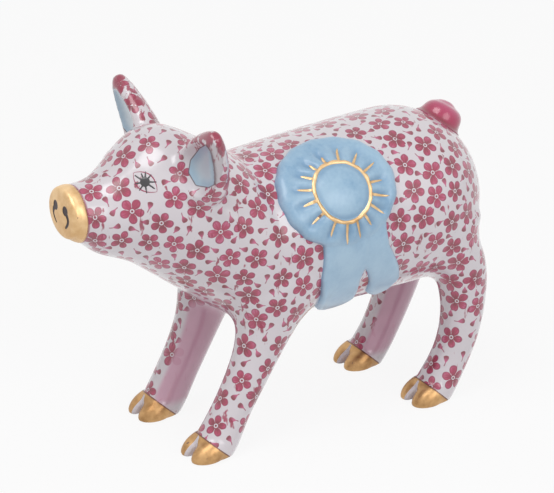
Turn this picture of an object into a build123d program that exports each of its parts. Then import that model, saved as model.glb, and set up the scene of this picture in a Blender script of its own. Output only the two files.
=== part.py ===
"""Standing pig figurine with a prize rosette, in glazed porcelain. Millimetres, +Z up.

The origin is on the ground, midway between snout and rump. The snout points to -Y, and the
pig's left flank, which carries the rosette, faces +X. The trunk and the head are thin-walled
casts, and the legs, ears, tail and rosette are set on them while the clay is damp.
"""
import os
from math import cos, pi, radians, sin, sqrt, tan

from build123d import *

os.makedirs("parts", exist_ok=True)

# Casting
wall = 2.3                  # wall of the hollow casts
overrun = 2.0               # how far a cutting or backing form runs past what it meets
vent_radius = 1.2           # air hole that keeps the hollow body from bursting in the kiln
vent_y = 12.5

# Trunk
neck_y = -6.0               # middle of the seam where the head's cast meets the trunk's
rump_y = 40.6               # back of the rump
trunk_neck_z = 35.0         # height of the trunk's axis at the neck
trunk_tilt = 3.4            # degrees that the trunk's axis climbs towards the rump
trunk_radius = 16.0         # where the trunk is widest
trunk_widest_share = 0.66   # share of the way from neck to rump where that is
neck_share = 0.944          # radius at the neck, as a share of the trunk's
rump_radius = 23.5          # of the flatter arc that closes the rump

# Head and neck
muzzle_y = -39.1            # back of the gilt snout pad
muzzle_axis_z = 46.2
# Each row: share of the way from neck to muzzle, then half width and half height as shares of
# the neck's radius, then rise as a share of the climb from trunk axis to muzzle axis.
head_shares = (
    (0.0, 1.0, 1.0, 0.0),
    (0.11, 0.985, 1.02, 0.17),
    (0.23, 0.93, 1.005, 0.40),
    (0.35, 0.86, 0.985, 0.63),
    (0.47, 0.77, 0.935, 0.83),
    (0.575, 0.68, 0.835, 0.93),
    (0.68, 0.575, 0.68, 0.94),
    (0.785, 0.475, 0.525, 0.87),
    (0.895, 0.395, 0.40, 0.88),
    (1.0, 0.345, 0.315, 0.96),
)
head_hollow_rows = 8        # how many of those sections the hollow reaches

# Snout pad
snout_half_width = 5.1
snout_half_height = 4.5
snout_thickness = 1.6
snout_edge = 0.9            # rounding of the pad's rim
nostril_depth = 0.35
nostril_end_x = 1.75        # from the pad's middle to both ends of a nostril
nostril_bow = 0.9           # how far a nostril bows outwards between them
nostril_rise = 1.0          # nostril's round head, above the pad's middle
nostril_drop = 2.0          # nostril's thin end, below the pad's middle
nostril_line = 0.6          # width of the nostril's tail where it is widest
nostril_head_radius = 0.6

# Ears
ear_root_x = 8.6
ear_root_y = -18.8
ear_root_z = 49.4
ear_tip_x = 17.4
ear_tip_y = -20.5
ear_tip_z = 61.9
ear_half_width = 5.0
ear_half_depth = 2.8
ear_rim = 1.0               # thickness of the ear's rolled rim
ear_open_turn = 14.0        # degrees that the opening turns outwards from straight ahead
# Each row: share of the way from root to tip, half width share, half depth share.
ear_shares = (
    (0.0, 0.85, 1.2), (0.30, 1.05, 1.25), (0.58, 0.90, 1.0), (0.82, 0.58, 0.7), (1.0, 0.2, 0.3),
)
# The scoop that hollows the ear: share of the way, half width share and half depth share of
# what the rim leaves, and how far forward it stands as a share of the ear's half depth.
scoop_shares = (
    (0.14, 0.45, 0.7, 1.3),
    (0.34, 1.05, 1.1, 0.95),
    (0.58, 0.95, 0.95, 0.8),
    (0.86, 0.35, 0.45, 0.7),
)

# Legs
leg_radius = 3.7            # at the middle of a leg
leg_top_z = 34.0            # top of a leg's form, inside the body
stance = 9.8                # from the middle plane to the middle of a foot
hip_x = 8.2
front_foot_y = -17.8
front_hip_y = -1.7
rear_left_foot_y = 27.4
rear_right_foot_y = 25.1
rear_hip_y = 33.5
# Each row: share of the leg's height, share of the way from foot to hip, then half width and
# half length as shares of the leg's radius.
front_left_shares = (
    (0.0, 0.02, 0.90, 1.04),
    (0.05, 0.06, 0.98, 1.16),
    (0.14, 0.165, 0.93, 1.12),
    (0.28, 0.35, 0.90, 1.08),
    (0.45, 0.56, 0.98, 1.18),
    (0.62, 0.73, 1.2, 1.5),
    (0.80, 0.86, 1.6, 2.0),
    (1.0, 1.0, 1.6, 2.1),
)
front_right_shares = (
    (0.0, 0.02, 0.90, 1.04),
    (0.05, 0.06, 0.98, 1.16),
    (0.14, 0.15, 0.95, 1.18),
    (0.28, 0.30, 0.94, 1.16),
    (0.45, 0.47, 1.0, 1.22),
    (0.62, 0.61, 1.2, 1.5),
    (0.80, 0.75, 1.6, 2.0),
    (1.0, 1.0, 1.6, 2.1),
)
rear_left_shares = (
    (0.0, 0.04, 0.90, 1.04),
    (0.05, 0.15, 0.98, 1.16),
    (0.14, 0.46, 0.94, 1.14),
    (0.30, 0.96, 0.93, 1.05),
    (0.48, 1.19, 1.04, 1.10),
    (0.66, 1.13, 1.30, 1.28),
    (0.82, 0.80, 1.60, 1.5),
    (1.0, 0.60, 1.60, 1.5),
)
rear_right_shares = (
    (0.0, 0.02, 0.90, 1.04),
    (0.05, 0.10, 0.98, 1.14),
    (0.16, 0.37, 0.94, 1.10),
    (0.33, 0.70, 0.95, 1.08),
    (0.48, 0.90, 1.06, 1.14),
    (0.66, 0.96, 1.30, 1.3),
    (0.82, 0.80, 1.60, 1.5),
    (1.0, 0.60, 1.60, 1.5),
)

# Toes
toe_half_length = 3.8
toe_radius = 2.3
toe_spread = 1.85           # from the middle of the foot to the middle of a toe
toe_lead = 1.2              # how far a toe's middle stands ahead of the foot's
toe_lift = 1.3              # height of a toe's middle
toe_tip_drop = 28.0         # degrees that a toe slopes down to its tip
gilt_heel = 2.6             # gilding's edge on the sole, behind the middle of the foot
gilt_front = 2.4            # gilding's upper edge, ahead of the middle of the foot
gilt_height = 4.6           # height of that upper edge
cleft_width = 1.5           # gap between the toes at the sole
cleft_height = 3.9
cleft_back = 2.4            # how far ahead of the middle of the foot the cleft stops

# Tail
tail_y = 35.0
tail_stand = 0.0            # height of the curl's middle over the trunk
tail_lean = 40.0            # degrees from upright to the axis of the curl
tail_curl_radius = 2.6
tail_tube_radius = 1.75
tail_turn = 315.0           # degrees of the curl

# Rosette
rosette_y = 6.6
rosette_angle = 41.0        # degrees up from level, on the left flank
rosette_half_length = 10.6  # along the body
rosette_half_height = 9.9   # round the body, measured straight across
rosette_thickness = 1.5
pleat_count = 16
pleat_lobe_share = 0.235    # radius of an edge lobe, as a share of the rosette's half length
crease_depth = 0.6          # at the rosette's edge
crease_slope = 58.0         # degrees from a crease's middle to its sides
crease_start_share = 0.67   # where a crease begins and ends, as shares of the way to the edge
crease_end_share = 1.04
button_y = 6.4
button_angle = 37.0
button_radius = 5.0
button_stand = 2.2          # height of the button's ledge over the trunk
button_dome = 1.3           # height of the button's crown over its ledge
ring_width = 0.55
ring_height = 0.35
ring_edge = 0.4             # ledge left outside the ring

# Ribbon tails
ribbon_thickness = 1.05
ribbon_top_z = 40.5
front_ribbon_y = 4.9
front_ribbon_half_width = 3.9
front_ribbon_bottom_z = 21.2
rear_ribbon_y = 13.1
rear_ribbon_half_width = 3.5
rear_ribbon_bottom_z = 23.4
ribbon_corner = 1.0
# Points round a ribbon tail: share of its half width, share of its drop from top to bottom.
front_ribbon_shares = (
    (-0.95, 0.0), (-0.9, 0.5), (-1.0, 0.88), (-0.3, 0.95), (0.4, 1.0), (1.0, 0.92), (0.82, 0.5), (0.9, 0.0),
)
rear_ribbon_shares = (
    (-1.25, 0.0), (-0.95, 0.45), (-0.45, 0.96), (0.25, 1.0), (0.98, 0.8), (1.05, 0.45), (0.6, 0.0),
)

trunk_along = Vector(0, cos(radians(trunk_tilt)), sin(radians(trunk_tilt)))
trunk_length = (rump_y - neck_y) / trunk_along.Y
trunk_start = Vector(0, neck_y, trunk_neck_z)
neck_radius = neck_share * trunk_radius
# The trunk's outline is three tangent arcs: the back, the shoulder of the rump, and its end.
back_end = trunk_widest_share * trunk_length
back_radius = (back_end**2 + (trunk_radius - neck_radius) ** 2) / (2 * (trunk_radius - neck_radius))
rump_middle = trunk_length - rump_radius
shoulder_radius = (rump_radius**2 - trunk_radius**2 - (rump_middle - back_end) ** 2) / (
    2 * (rump_radius - trunk_radius)
)
oval_points = 12


def oval(half_width, half_height):
    """Closed smooth oval about the sketch's origin, always starting on its local X axis."""
    turns = [radians(360 * i / oval_points) for i in range(oval_points)]
    Spline(*[(half_width * cos(a), half_height * sin(a)) for a in turns], periodic=True)


def lofted(sections):
    """Solid through ovals, each given as its plane, half width and half height."""
    with BuildPart() as form:
        for plane, half_width, half_height in sections:
            with BuildSketch(plane):
                if half_width == half_height:
                    Circle(half_width)
                else:
                    with BuildLine():
                        oval(half_width, half_height)
                    make_face()
        loft()
    return form.part


def trunk_form(grow=0.0):
    """The trunk's outer form as one solid, grown all round by the given amount."""
    rump_centre = Vector(rump_middle, 0)
    shoulder_centre = Vector(back_end, trunk_radius - shoulder_radius)
    outward = (shoulder_centre - rump_centre).normalized()
    with BuildPart() as form:
        with BuildSketch(Plane(origin=trunk_start, x_dir=trunk_along, z_dir=(1, 0, 0))):
            with BuildLine():
                seam = Line((0, 0), (0, neck_radius + grow))
                back = TangentArc((back_end, trunk_radius + grow), seam @ 1, tangent=(-1, 0))
                shoulder_end = rump_centre + outward * (rump_radius + grow)
                shoulder = TangentArc(back @ 0, shoulder_end, tangent=(1, 0))
                rump = TangentArc(shoulder @ 1, (trunk_length + grow, 0), tangent=shoulder % 1)
                Line(rump @ 1, seam @ 0)
            make_face()
        revolve(axis=Axis(trunk_start, trunk_along))
    return form.part


def trunk_radius_at(y):
    """Radius of the trunk's outer form at a place along the body, on its back or shoulder arc."""
    past = (y - neck_y) / trunk_along.Y - back_end
    radius = back_radius if past < 0 else shoulder_radius
    return trunk_radius - radius + sqrt(radius**2 - past**2)


def head_form(rows=len(head_shares), inset=0.0):
    """The head and neck's form through the first given rows, drawn in by the inset."""
    sections = []
    for along, width, height, rise in head_shares[:rows]:
        y = neck_y + along * (muzzle_y - neck_y)
        z = trunk_neck_z + rise * (muzzle_axis_z - trunk_neck_z)
        ahead = (0, -1, 0) if along else -trunk_along
        plane = Plane(origin=(0, y, z), x_dir=(1, 0, 0), z_dir=ahead)
        sections.append((plane, width * neck_radius - inset, height * neck_radius - inset))
    return lofted(sections)


def leg_form(side, foot_y, hip_y, shares):
    """One leg as a whole form, from its sole up into the body. side is +1 for the left."""
    sections = []
    for up, along, width, length in shares:
        x = side * (stance + up * (hip_x - stance))
        y = foot_y + along * (hip_y - foot_y)
        plane = Plane(origin=(x, y, up * leg_top_z), x_dir=(1, 0, 0), z_dir=(0, 0, 1))
        sections.append((plane, width * leg_radius, length * leg_radius))
    return lofted(sections)


def flank_plane(y, angle, distance):
    """Plane square to the left flank, its local X along the body towards the rump."""
    out = Vector(1, 0, 0).rotate(Axis((0, 0, 0), trunk_along), -angle)
    centre = trunk_start + trunk_along * ((y - neck_y) / trunk_along.Y) + out * distance
    return Plane(origin=centre, x_dir=trunk_along, z_dir=out)


trunk_outer = trunk_form()
head_outer = head_form()

with BuildPart() as trunk_shell:
    add(trunk_outer)
    add(trunk_form(-wall), mode=Mode.SUBTRACT)
    with Locations((0, vent_y, trunk_neck_z - trunk_radius)):
        Cylinder(vent_radius, 2 * (wall + overrun), mode=Mode.SUBTRACT)
trunk_shell.part.label = "trunk_shell"
export_step(trunk_shell.part, "parts/trunk_shell.step")

with BuildPart() as head_shell:
    add(head_outer)
    add(head_form(head_hollow_rows, wall), mode=Mode.SUBTRACT)
head_shell.part.label = "head_shell"
export_step(head_shell.part, "parts/head_shell.step")

snout_plane = Plane(origin=(0, muzzle_y, muzzle_axis_z), x_dir=(1, 0, 0), z_dir=(0, -1, 0))

with BuildPart() as snout_pad:
    with BuildSketch(snout_plane):
        Ellipse(snout_half_width, snout_half_height)
    extrude(amount=snout_thickness)
    front_rim = snout_pad.edges().group_by(Axis.Y)[0]
    fillet(front_rim, snout_edge)
    with BuildSketch(snout_plane.offset(snout_thickness)):
        for side in (1, -1):
            head = (side * nostril_end_x, nostril_rise)
            end = (side * nostril_end_x, -nostril_drop)
            bow_x, bow_y = nostril_end_x + nostril_bow, (nostril_rise - nostril_drop) / 2
            with BuildLine():
                ThreePointArc(head, (side * (bow_x + nostril_line / 2), bow_y), end)
                ThreePointArc(end, (side * (bow_x - nostril_line / 2), bow_y), head)
            make_face()
            with Locations(head):
                Circle(nostril_head_radius)
    extrude(amount=-nostril_depth, mode=Mode.SUBTRACT)
snout_pad.part.label = "snout_pad"
export_step(snout_pad.part, "parts/snout_pad.step")


def ear_directions(side):
    """Root of an ear, the way from it to the tip, and unit vectors across and ahead."""
    root = Vector(side * ear_root_x, ear_root_y, ear_root_z)
    tip = Vector(side * ear_tip_x, ear_tip_y, ear_tip_z)
    rise = tip - root
    ahead = Vector(side * sin(radians(ear_open_turn)), -cos(radians(ear_open_turn)), 0)
    across = ahead.cross(rise).normalized()
    forward = rise.cross(across).normalized()
    return root, rise, across, forward


def ear_part(side):
    """One cupped ear, cut to the head it stands on."""
    root, rise, across, forward = ear_directions(side)
    body, scoop = [], []
    for along, width, depth in ear_shares:
        plane = Plane(origin=root + rise * along, x_dir=across, z_dir=rise.normalized())
        body.append((plane, width * ear_half_width, depth * ear_half_depth))
    for along, width, depth, ahead in scoop_shares:
        centre = root + rise * along + forward * (ahead * ear_half_depth)
        plane = Plane(origin=centre, x_dir=across, z_dir=rise.normalized())
        scoop.append((plane, width * (ear_half_width - ear_rim), depth * (ear_half_depth - ear_rim)))
    with BuildPart() as ear:
        add(lofted(body))
        add(lofted(scoop), mode=Mode.SUBTRACT)
        add(head_outer, mode=Mode.SUBTRACT)
    return ear.part


for side, name in ((1, "left"), (-1, "right")):
    ear = ear_part(side)
    ear.label = f"ear_{name}"
    export_step(ear, f"parts/ear_{name}.step")


def toe_form(x, foot_y):
    """One toe: a long rounded form that slopes down to its tip, before it meets the leg."""
    plane = Plane(
        origin=(x, foot_y - toe_lead, toe_lift),
        x_dir=(0, -cos(radians(toe_tip_drop)), -sin(radians(toe_tip_drop))),
        z_dir=(1, 0, 0),
    )
    with BuildPart() as toe:
        with BuildSketch(plane):
            Ellipse(toe_half_length, toe_radius)
            Rectangle(2 * toe_half_length, toe_radius, align=(Align.CENTER, Align.MAX), mode=Mode.SUBTRACT)
        revolve(axis=Axis(plane.origin, plane.x_dir))
        split(bisect_by=Plane.XY, keep=Keep.TOP)
    return toe.part


legs = {
    "front_left": (1, front_foot_y, front_hip_y, front_left_shares),
    "front_right": (-1, front_foot_y, front_hip_y, front_right_shares),
    "rear_left": (1, rear_left_foot_y, rear_hip_y, rear_left_shares),
    "rear_right": (-1, rear_right_foot_y, rear_hip_y, rear_right_shares),
}

for name, (side, foot_y, hip_y, shares) in legs.items():
    foot_x = side * stance
    gilt_rise = Vector(0, -(gilt_front + gilt_heel), gilt_height)
    gilt_edge = (foot_x, foot_y + gilt_heel, 0)
    gilt_plane = Plane(origin=gilt_edge, x_dir=(1, 0, 0), z_dir=Vector(1, 0, 0).cross(gilt_rise))

    with BuildPart() as whole_leg:
        add(leg_form(side, foot_y, hip_y, shares))
        for x in (foot_x - toe_spread, foot_x + toe_spread):
            add(toe_form(x, foot_y))

    with BuildPart() as leg:
        add(whole_leg.part)
        split(bisect_by=gilt_plane, keep=Keep.BOTTOM)
        add(trunk_outer, mode=Mode.SUBTRACT)
        add(head_outer, mode=Mode.SUBTRACT)
    leg.part.label = f"leg_{name}"
    export_step(leg.part, f"parts/leg_{name}.step")

    with BuildPart() as hoof:
        add(whole_leg.part)
        split(bisect_by=gilt_plane, keep=Keep.TOP)
        with BuildSketch(Plane.XZ.offset(cleft_back - foot_y)):
            with BuildLine():
                Polyline(
                    (foot_x - cleft_width / 2, 0),
                    (foot_x, cleft_height),
                    (foot_x + cleft_width / 2, 0),
                    close=True,
                )
            make_face()
        extrude(amount=toe_half_length + overrun, mode=Mode.SUBTRACT)
    hoof.part.label = f"hoof_{name}"
    export_step(hoof.part, f"parts/hoof_{name}.step")

tail_plane = Plane(
    origin=flank_plane(tail_y, 90, trunk_radius_at(tail_y) + tail_stand).origin,
    x_dir=(0, cos(radians(tail_lean)), -sin(radians(tail_lean))),
    z_dir=(0, sin(radians(tail_lean)), cos(radians(tail_lean))),
)
with BuildPart() as tail_curl:
    with Locations(tail_plane):
        Torus(tail_curl_radius, tail_tube_radius, major_angle=tail_turn)
        with Locations((tail_curl_radius, 0, 0)):
            Sphere(tail_tube_radius)
    add(trunk_outer, mode=Mode.SUBTRACT)
tail_curl.part.label = "tail_curl"
export_step(tail_curl.part, "parts/tail_curl.step")


def rosette_point(turn, reach, lift):
    """Point of the rosette's outer face: reach is a share of its half sizes, lift is outwards."""
    along = reach * rosette_half_length * cos(turn)
    up = reach * rosette_half_height * sin(turn)
    face_radius = trunk_radius_at(rosette_y + along) + rosette_thickness
    plane = flank_plane(rosette_y, rosette_angle, sqrt(face_radius**2 - up**2) + lift)
    return plane.from_local_coords((along, up, 0))


button_height = trunk_radius_at(button_y) + button_stand
button_seat = flank_plane(button_y, button_angle, button_height)
button_plane = Plane(origin=button_seat.origin, x_dir=button_seat.y_dir, z_dir=button_seat.z_dir)
ledge_radius = button_radius + ring_width + ring_edge


def button_form():
    """The button with its ledge, as one turned solid that reaches down into the trunk."""
    crown_radius = (button_radius**2 + button_dome**2) / (2 * button_dome)
    with BuildPart() as form:
        with BuildSketch(button_plane):
            Circle(ledge_radius)
        extrude(amount=-(button_stand + overrun))
        with BuildSketch(button_plane):
            Circle(button_radius)
        extrude(amount=button_dome)
        with Locations(button_plane):
            with Locations((0, 0, button_dome - crown_radius)):
                Sphere(crown_radius, mode=Mode.INTERSECT)
    return form.part


with BuildPart() as rosette_button:
    add(button_form())
    add(trunk_outer, mode=Mode.SUBTRACT)
rosette_button.part.label = "rosette_button"
export_step(rosette_button.part, "parts/rosette_button.step")

with BuildPart() as rosette_ring:
    with BuildSketch(button_plane):
        Circle(button_radius + ring_width)
        Circle(button_radius, mode=Mode.SUBTRACT)
    extrude(amount=ring_height)
rosette_ring.part.label = "rosette_ring"
export_step(rosette_ring.part, "parts/rosette_ring.step")

rosette_floor = flank_plane(rosette_y, rosette_angle, trunk_radius / 2)
with BuildPart() as rosette_prism:
    with BuildSketch(rosette_floor):
        lobe_radius = pleat_lobe_share * rosette_half_length
        a, b = rosette_half_length - lobe_radius, rosette_half_height - lobe_radius
        Ellipse(rosette_half_length - lobe_radius / 2, rosette_half_height - lobe_radius / 2)
        for i in range(pleat_count):
            turn = 2 * pi * i / pleat_count
            with Locations((a * cos(turn), b * sin(turn))):
                Circle(lobe_radius)
    extrude(amount=trunk_radius)

with BuildPart() as rosette_pleats:
    add(rosette_prism.part)
    add(trunk_form(rosette_thickness), mode=Mode.INTERSECT)
    add(trunk_outer, mode=Mode.SUBTRACT)
    add(button_form(), mode=Mode.SUBTRACT)
    for i in range(pleat_count):
        turn = 2 * pi * (i + 0.5) / pleat_count
        inner = rosette_point(turn, crease_start_share, 0)
        outer = rosette_point(turn, crease_end_share, -crease_depth)
        run = outer - inner
        from_axis = outer - trunk_start
        from_axis -= trunk_along * from_axis.dot(trunk_along)
        open_width = overrun * tan(radians(crease_slope))
        with BuildSketch(Plane(origin=inner, x_dir=from_axis.cross(run), z_dir=run)):
            with BuildLine():
                Polyline((0, 0), (open_width, overrun), (-open_width, overrun), close=True)
            make_face()
    extrude(amount=(crease_end_share - crease_start_share) * rosette_half_length, mode=Mode.SUBTRACT)
rosette_pleats.part.label = "rosette_pleats"
export_step(rosette_pleats.part, "parts/rosette_pleats.step")


def ribbon_part(middle_y, half_width, bottom_z, shares):
    """A ribbon tail laid on the flank, from under the rosette to its free end."""
    drop = ribbon_top_z - bottom_z
    outline = [(middle_y + a * half_width, ribbon_top_z - d * drop) for a, d in shares]
    with BuildPart() as ribbon:
        with BuildSketch(Plane.YZ):
            with BuildLine():
                FilletPolyline(*outline, radius=ribbon_corner, close=True)
            make_face()
        extrude(amount=trunk_radius + overrun)
        add(trunk_form(ribbon_thickness), mode=Mode.INTERSECT)
        add(trunk_outer, mode=Mode.SUBTRACT)
        add(rosette_prism.part, mode=Mode.SUBTRACT)
    return ribbon.part


ribbons = {
    "front": (front_ribbon_y, front_ribbon_half_width, front_ribbon_bottom_z, front_ribbon_shares),
    "rear": (rear_ribbon_y, rear_ribbon_half_width, rear_ribbon_bottom_z, rear_ribbon_shares),
}
for name, sizes in ribbons.items():
    ribbon = ribbon_part(*sizes)
    ribbon.label = f"ribbon_{name}"
    export_step(ribbon, f"parts/ribbon_{name}.step")
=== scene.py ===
"""Looks of a standing pig figurine in hand-painted porcelain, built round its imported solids.

The part's own frame holds: the snout points to -Y, the left flank with the rosette faces +X,
and the ground is Z = 0. Named lengths with MM are metres. The others are millimetres, because
painted shapes are laid out in millimetres before they are put on the surface.
"""
import math
import random
from contextlib import contextmanager

import bmesh
import bpy
import numpy as np
import openvdb as vdb
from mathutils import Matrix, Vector


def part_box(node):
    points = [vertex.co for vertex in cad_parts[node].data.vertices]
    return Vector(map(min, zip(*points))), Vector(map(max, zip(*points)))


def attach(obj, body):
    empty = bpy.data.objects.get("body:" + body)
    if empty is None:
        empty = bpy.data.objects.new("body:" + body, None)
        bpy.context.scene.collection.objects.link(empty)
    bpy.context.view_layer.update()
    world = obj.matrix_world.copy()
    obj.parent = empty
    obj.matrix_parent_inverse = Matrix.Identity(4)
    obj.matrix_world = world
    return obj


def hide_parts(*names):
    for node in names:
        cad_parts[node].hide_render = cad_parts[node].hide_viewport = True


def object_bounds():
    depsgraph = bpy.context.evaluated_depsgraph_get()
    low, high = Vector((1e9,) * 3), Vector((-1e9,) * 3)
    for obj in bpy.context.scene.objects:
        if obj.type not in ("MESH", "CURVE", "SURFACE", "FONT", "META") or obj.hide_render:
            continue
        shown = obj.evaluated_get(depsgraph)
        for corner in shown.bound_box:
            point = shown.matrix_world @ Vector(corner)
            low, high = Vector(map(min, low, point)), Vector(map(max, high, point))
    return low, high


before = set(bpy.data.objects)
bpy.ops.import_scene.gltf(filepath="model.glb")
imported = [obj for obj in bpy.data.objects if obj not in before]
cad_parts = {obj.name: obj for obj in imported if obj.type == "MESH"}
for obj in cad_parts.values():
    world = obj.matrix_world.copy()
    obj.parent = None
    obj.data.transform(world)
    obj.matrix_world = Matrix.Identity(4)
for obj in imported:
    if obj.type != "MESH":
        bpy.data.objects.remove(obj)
cad_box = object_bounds()

MM = 0.001
SEED = 7
TINY = 1e-9  # keeps a division from failing
LEGS = ("front_left", "front_right", "rear_left", "rear_right")
SIDES = {"left": 1, "right": -1}

# Camera, at the photograph's viewing angle, in metres and degrees
VIEW_AZIMUTH = 59.7
VIEW_ELEVATION = 22.4
VIEW_DISTANCE = 0.520
VIEW_TARGET = Vector((-0.00025, 0.00145, 0.03145))
LENS = 192.6
SENSOR = 36.0
CLIP_START = 0.01

# Light. A lamp has a place, a width and a power.
KEY_LAMP = ((0.10, -0.25, 0.60), 0.35, 1.5)
FILL_LAMP = ((0.60, 0.10, 0.35), 0.40, 1.15)
SURROUND = 0.34  # light that comes from all round
FLOOR_REACH = 2.5
FLOOR_COLOUR = (0.86, 0.86, 0.87, 1)
FLOOR_WHITE_SHARE = 0.90  # how far the floor is lifted to white where it is seen
WHITE = (1, 1, 1, 1)

# Colours, as sRGB out of 255
PORCELAIN = (228, 221, 226)
RASPBERRY = (180, 30, 84)
RASPBERRY_DARK = (134, 6, 44)
RASPBERRY_PALE = (206, 98, 138)
RASPBERRY_LINE = (156, 44, 84)
WASH = (206, 156, 178)
BLUE = (148, 186, 216)
BLUE_DEEP = (112, 154, 192)
BLUE_PALE = (172, 205, 229)
BLUE_LIGHT = (190, 217, 236)
EAR_BLUE = (166, 194, 214)
EAR_BLUE_PALE = (206, 222, 232)
GOLD = (244, 212, 166)
GOLD_DEEP = (210, 170, 120)
# Gold for the toes: the gilding darkened as painted shade, for toes that face down and aside
SHADED_TOE_GOLD = (218, 176, 124)
SHADED_TOE_GOLD_DEEP = (160, 120, 78)
NOSTRIL = (58, 44, 48)
OUTLINE = (92, 62, 74)
BLACK = (26, 24, 30)
GRAIN = 0.02 * MM  # how far the brushwork stands out in glaze and gold
GLAZE_IOR = 1.5

# Skin: the body's fields
VOXEL = 0.28 * MM
BAND = 22  # voxels on each side of a surface that a field holds
MARGIN = 6  # voxels of air round a grid
SEAM = 0.05 * MM  # a gap between two casts that still counts as closed
CORE_BLUR = 0.7 * MM  # evens the seam between trunk and head
SKIN_BLUR = 0.26 * MM  # rounding that the glaze gives every edge
LEG_FILLET = 3.0 * MM
EAR_FILLET = 1.6 * MM
FOOT_FILLET = 0.5 * MM
VENT_Y = 12.5 * MM  # air hole in the belly
VENT_RADIUS = 1.2 * MM
VENT_DEPTH = 2.8 * MM

# Trunk's axis, in millimetres and degrees
AXIS_Y = -6.0
AXIS_Z = 35.0
AXIS_TILT = 3.4

# Paint on ears and legs
EAR_ROOM = 2.0 * MM  # room round an ear in which its paint is worked out
EAR_PAINT_DEPTH = 0.12 * MM
EAR_OFF_HEAD = 0.3 * MM
EAR_BACK_SLOPE = 0.25  # a normal that points this far back lies on an ear's back
EAR_ROOT = (8.6, -18.8, 49.4)
EAR_PLANE = ((0.505, 0.863, 0.0), (-0.329, 0.192, 0.925))  # across and up the hollow of the left ear
# Outline of the painted hollow on that plane, in millimetres from the ear's root.
EAR_HOLLOW = (
    (2.2, 6.6), (3.6, 5.4), (3.9, 4.0), (3.1, 1.2), (1.6, 0.6), (-0.1, 0.9), (-1.1, 2.6), (-0.8, 4.3),
    (0.6, 5.9),
)
EAR_HOLLOW_ROUND = 0.6
NOT_IN_EAR = -5.0
TIP_ROOM = 1.0 * MM
TIP_FADE = (6.5, 1.5)  # below an ear's top, where its raspberry tip starts and is full
TIP_STRENGTH = 0.9
EAR_BACK_STRENGTH = 0.55
WASH_TOP = (24.0, 20.0)  # heights at which the wash on the inner legs starts and is full
WASH_FOOT = (2.0, 4.0)  # the same at its lower end

# Blossoms and buds, in millimetres
BLOSSOM_KIND = 1.0
BUD_KIND = 2.0
BLOSSOM_SPACING = 4.1
BLOSSOM_RADIUS = 2.05
BUD_SPACING = 2.05
BUD_CLEARANCE = 2.7  # from the middle of a blossom to the middle of a bud
BUD_RADIUS = 0.75
EYE_CLEAR_OF_BLOSSOMS = 4.3
EYE_CLEAR_OF_BUDS = 3.3
EAR_CLEAR = 1.2
SNOUT_CLEAR = 2.2
SOLE_CLEAR = 3.4
FACES_AT_ONCE = 8000  # keeps the search for the nearest motif small in memory

# Gilding on the toes, in millimetres
GILT_RUN = 5.0  # forwards along the foot, over which the gilding's edge climbs by its rise
GILT_RISE = 4.6
FOOT_REACH = Vector((7, 9, 9)) * MM  # room round a foot in which it is cut
CUT_TOLERANCE = 1e-7
CLEFT_WIDTH = 1.5
CLEFT_HEIGHT = 3.9
CLEFT_ROUND = 0.25
CLEFT_ASIDE = 0.35  # how far the painted cleft lies off the middle of the foot

# Tail, in millimetres and degrees
TAIL_VOXEL = 0.16 * MM
TAIL_ROOM = 1.5 * MM
TAIL_LEAN = 40.0  # from upright to the axis of the curl
TAIL_START = 90.0  # round that axis, where the tail leaves the rump
TAIL_TURN = 470.0  # how far it winds
TAIL_TOP = 3.3  # from the top of the CAD curl down to the middle of the turns
TAIL_BACK = 1.0  # from the middle of the CAD curl back to the middle of the turns
TAIL_REACH = 1.85  # from that middle to the outer turn
TAIL_CLIMB = 0.5  # how far the tip stands up over the outer turn
TAIL_THICK = 1.75  # radius of the outer turn
TAIL_TIP = 2.35  # radius of the tip
TAIL_STEPS = 90
TAIL_FILLET = 2.0 * MM
TAIL_BLUR = 0.38 * MM
TAIL_FOOT = 1.25 * MM  # how far the soft foot runs out over the rump
SINK = 0.5  # how deep tail and rosette reach into the skin

# Rosette, in millimetres and degrees. Places on it are (along the body, round the body).
RELIEF_VOXEL = 0.17 * MM
RELIEF_BLUR = 0.14 * MM
RELIEF_REACH = (-1.6, 4.2)  # heights over the skin between which the relief is worked out
RELIEF_NODES = ("rosette_pleats", "rosette_button", "ribbon_front", "ribbon_rear")
ROLL_START = 16.5 * MM  # from the trunk's axis to about the flank
ROSETTE_Y = 6.6
ROSETTE_ANGLE = 42.0
ROSETTE_UNROLL = 17.0  # radius at which lengths round the body are measured
ROSETTE_RADIUS = 11.1
ROSETTE_MIDDLE = (0.0, -0.6)
ROSETTE_RIM = 1.7  # width over which the rim rolls down to the flank
ROSETTE_HEIGHT = 1.5
LOBES = 16
LOBE_HEIGHT = 0.10
UNEVEN = 0.12  # how far the outline is out of round
RING_MIDDLE = (-0.1, -1.9)
RING_RADIUS = 5.15
RING_RISE = 0.65  # how far the folds climb from the rim to the ring
CLIMB = (9.2, 5.6)  # from the ring's middle, where that climb starts and ends
FOLD_DEPTH = 0.58
FOLD_OUTER = (9.8, 7.3)  # where the folds start, and where they are full
FOLD_INNER = (5.2, 5.9)
FOLD_WIDTH = 5.5
BUTTON_EDGE = 0.25  # from the ring's middle line in to the foot of the dome
BUTTON_DOME = 0.95
BUTTON_SINK = 0.22
FOLD_SHADE_OUTER = (10.0, 7.0)  # where the painted shade in the folds starts, and where it is full
FOLD_SHADE_INNER = (5.0, 5.6)
RIBBON_HEIGHT = 0.9
RIBBON_RIM = 1.1
RIBBON_FILLET = 0.4
RIBBON_ROUND = 1.5  # radius that rounds a ribbon's outline off, outside these corners
FRONT_RIBBON = (
    (-3.5, -8.0), (-3.6, -13.0), (-3.9, -18.0), (-3.3, -24.0), (-2.5, -27.6), (-1.5, -28.7), (-0.2, -28.7),
    (0.9, -27.8), (1.7, -26.2), (1.4, -23.5), (1.1, -20.0), (1.9, -16.0), (2.5, -8.0),
)
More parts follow.
